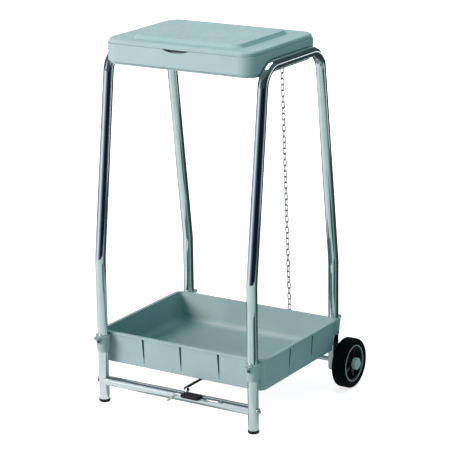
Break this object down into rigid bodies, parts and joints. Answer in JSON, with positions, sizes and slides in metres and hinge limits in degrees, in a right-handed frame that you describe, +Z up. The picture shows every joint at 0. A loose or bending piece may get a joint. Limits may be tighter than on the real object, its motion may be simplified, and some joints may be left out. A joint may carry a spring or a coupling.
{
  "type": "bin bag holder",
  "caption": "Wheeled bin bag holder with chromed tube hoops, shallow tray, hinged lid over a bag collar, and a foot pedal that opens the lid by rod and chain.",
  "frame": {"origin": "on the floor, under the middle of the whole holder", "axes": "+X to the holder's left-to-right as seen from the pedal, +Y from the pedal towards the wheels, +Z up"},
  "size_m": [0.5476, 0.477, 0.8737],
  "materials": {
    "chrome": "polished",
    "steel": "satin",
    "dark_screw": "satin",
    "chain": "satin",
    "rubber": "matt",
    "black_plastic": "matt",
    "moulding": "satin",
    "tyre": "matt",
    "pale_plastic": "satin",
    "black_paint": "satin"
  },
  "bodies": {
    "frame": {"left_hoop": "chrome", "right_hoop": "chrome", "front_crossbar": "chrome", "crossbar_inserts": "steel", "crossbar_screws": "steel", "left_foot": "rubber", "right_foot": "rubber", "rear_leg_plugs": "black_plastic", "tray": "moulding", "tray_screws": "dark_screw", "collar": "moulding", "collar_screws": "steel", "hinge_pins": "steel", "rear_axle": "chrome", "axle_washers": "steel", "rocker_rings": "steel", "pedal_pivot": "steel"},
    "lid": {"lid": "moulding", "lid_lever": "steel", "lid_lever_rivets": "steel"},
    "chain": {"chain": "chain"},
    "rocker": {"rear_rocker": "steel"},
    "rod": {"pull_rod": "black_paint"},
    "pedal": {"pedal_crank": "steel", "pedal_pad": "rubber"},
    "left_wheel": {"left_tyre": "tyre", "left_hub": "black_plastic", "left_rim_ring": "pale_plastic", "left_hub_cap": "pale_plastic"},
    "right_wheel": {"right_tyre": "tyre", "right_hub": "black_plastic", "right_rim_ring": "pale_plastic", "right_hub_cap": "pale_plastic"}
  },
  "joints": [
    {"name": "lid_hinge", "type": "hinge", "parent": "frame", "child": "lid", "pos_m": [0, 0.1295, 0.842], "axis": [-1, 0, 0], "range_deg": [0, 65]},
    {"name": "chain_slide", "type": "slide", "parent": "frame", "child": "chain", "axis": [-0.0128, 0.0694, -0.9975], "range_m": [0, 0.02257]},
    {"name": "rocker_turn", "type": "hinge", "parent": "frame", "child": "rocker", "pos_m": [0, 0.1785, 0.06], "axis": [-1, 0, 0], "range_deg": [0, 51.44]},
    {"name": "rod_slide", "type": "slide", "parent": "frame", "child": "rod", "axis": [0, -1, 0], "range_m": [0, 0.01215]},
    {"name": "pedal_turn", "type": "hinge", "parent": "frame", "child": "pedal", "pos_m": [0, -0.21025, 0.0625], "axis": [1, 0, 0], "range_deg": [0, 51.44]},
    {"name": "left_wheel_spin", "type": "hinge", "parent": "frame", "child": "left_wheel", "pos_m": [-0.248, 0.1785, 0.06], "axis": [1, 0, 0], "continuous": true},
    {"name": "right_wheel_spin", "type": "hinge", "parent": "frame", "child": "right_wheel", "pos_m": [0.248, 0.1785, 0.06], "axis": [1, 0, 0], "continuous": true}
  ],
  "couplings": [
    {"joint": "chain_slide", "follows": "lid_hinge", "m_per_rad": 0.019892},
    {"joint": "rocker_turn", "follows": "lid_hinge", "ratio": 0.79138},
    {"joint": "rod_slide", "follows": "lid_hinge", "m_per_rad": 0.010711},
    {"joint": "pedal_turn", "follows": "lid_hinge", "ratio": 0.79138}
  ]
}
